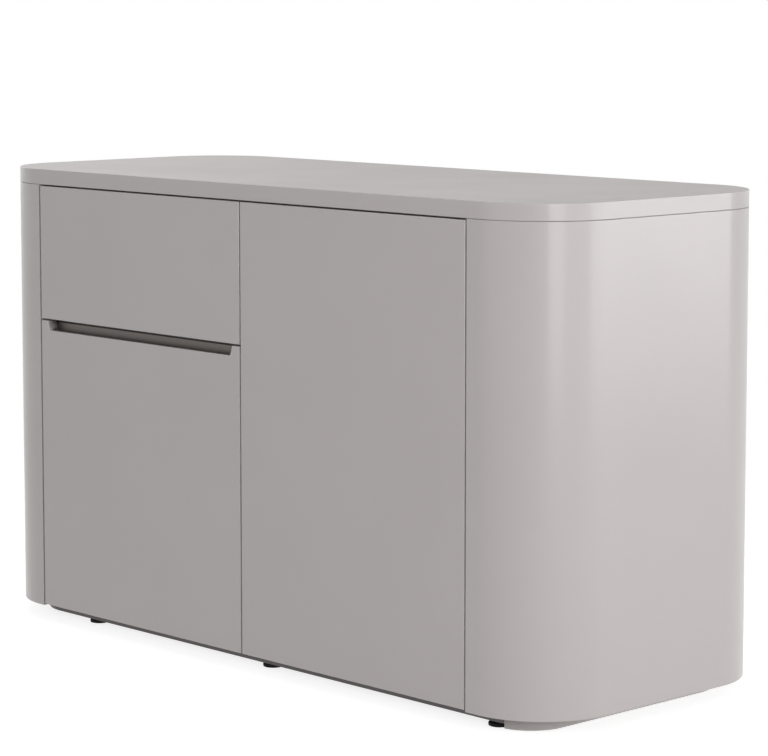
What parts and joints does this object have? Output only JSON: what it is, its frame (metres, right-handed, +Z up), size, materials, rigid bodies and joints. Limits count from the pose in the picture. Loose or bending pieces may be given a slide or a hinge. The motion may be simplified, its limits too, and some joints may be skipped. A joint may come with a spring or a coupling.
{
  "type": "credenza",
  "caption": "Low free-standing credenza with rounded ends, a drawer over a door on the left and a tall push-to-open door on the right, on a recessed plinth.",
  "frame": {"origin": "on the floor, under the middle of the body's outline", "axes": "+X along the front to the right, the front looks along -Y, +Z up"},
  "size_m": [1.276, 0.512, 0.75],
  "materials": {
    "lacquer": "fibreboard in warm pale grey satin lacquer",
    "carcass_board": "light grey melamine-faced board",
    "dark_profile": "dark taupe anodised, brushed lengthwise",
    "hardware_steel": "nickel-plated or zinc-plated hardware",
    "black_plastic": "black moulded plastic",
    "grey_plastic": "grey moulded plastic",
    "soft_bumper": "soft grey felt-like bumper"
  },
  "bodies": {
    "carcass": {"worktop": "lacquer", "left_end_shell": "lacquer", "right_end_shell": "lacquer", "back_panel": "lacquer", "end_skirt": "lacquer", "sub_top": "carcass_board", "bottom_board": "carcass_board", "left_end_rib": "carcass_board", "right_end_rib": "carcass_board", "left_side_panel": "carcass_board", "right_side_panel": "carcass_board", "partition": "carcass_board", "drawer_divider": "carcass_board", "left_shelf": "carcass_board", "right_shelf_low": "carcass_board", "right_shelf_high": "carcass_board", "plinth_strip": "dark_profile", "shelf_pins": "hardware_steel", "cam_discs": "hardware_steel", "cam_bolts": "hardware_steel", "worktop_screws": "hardware_steel", "back_screws": "hardware_steel", "plinth_brackets": "hardware_steel", "plinth_screws": "hardware_steel", "foot_stems": "hardware_steel", "lower_hinge_arms": "hardware_steel", "right_hinge_arms": "hardware_steel", "hinge_plate_screws": "hardware_steel", "left_runner_fixed": "hardware_steel", "right_runner_fixed": "hardware_steel", "runner_screws": "hardware_steel", "latch_spring": "hardware_steel", "latch_screws": "hardware_steel", "foot_pads": "black_plastic", "foot_sockets": "black_plastic", "latch_housing": "grey_plastic", "door_bumpers": "soft_bumper"},
    "runner_middles": {"left_runner_middle": "hardware_steel", "right_runner_middle": "hardware_steel"},
    "drawer": {"drawer_front": "lacquer", "drawer_inner_front": "carcass_board", "drawer_left_side": "carcass_board", "drawer_right_side": "carcass_board", "drawer_back": "carcass_board", "drawer_bottom": "carcass_board", "left_runner_inner": "hardware_steel", "right_runner_inner": "hardware_steel", "drawer_screws": "hardware_steel"},
    "lower_door": {"lower_door": "lacquer", "grip_profile": "dark_profile", "lower_hinge_cups": "hardware_steel", "lower_hinge_pins": "hardware_steel", "lower_cup_screws": "hardware_steel"},
    "right_door": {"right_door": "lacquer", "right_hinge_cups": "hardware_steel", "right_hinge_pins": "hardware_steel", "right_cup_screws": "hardware_steel", "latch_strike": "hardware_steel"},
    "latch_plunger": {"latch_plunger": "black_plastic"}
  },
  "joints": [
    {"name": "drawer_slide", "type": "slide", "parent": "carcass", "child": "drawer", "axis": [0, -1, 0], "range_m": [0, 0.4]},
    {"name": "runner_slide", "type": "slide", "parent": "carcass", "child": "runner_middles", "axis": [0, -1, 0], "range_m": [0, 0.2]},
    {"name": "lower_door_hinge", "type": "hinge", "parent": "carcass", "child": "lower_door", "pos_m": [-0.49036, -0.249, 0.265], "axis": [0, 0, -1], "range_deg": [0, 100]},
    {"name": "right_door_hinge", "type": "hinge", "parent": "carcass", "child": "right_door", "pos_m": [0.47636, -0.249, 0.374], "axis": [0, 0, 1], "range_deg": [0, 100]},
    {"name": "latch_plunger_slide", "type": "slide", "parent": "carcass", "child": "latch_plunger", "axis": [0, 1, 0], "range_m": [0, 0.0018], "stiffness_N_per_m": 1000, "deforming": ["latch_spring"]}
  ],
  "couplings": [
    {"joint": "runner_slide", "follows": "drawer_slide", "ratio": 0.5}
  ]
}
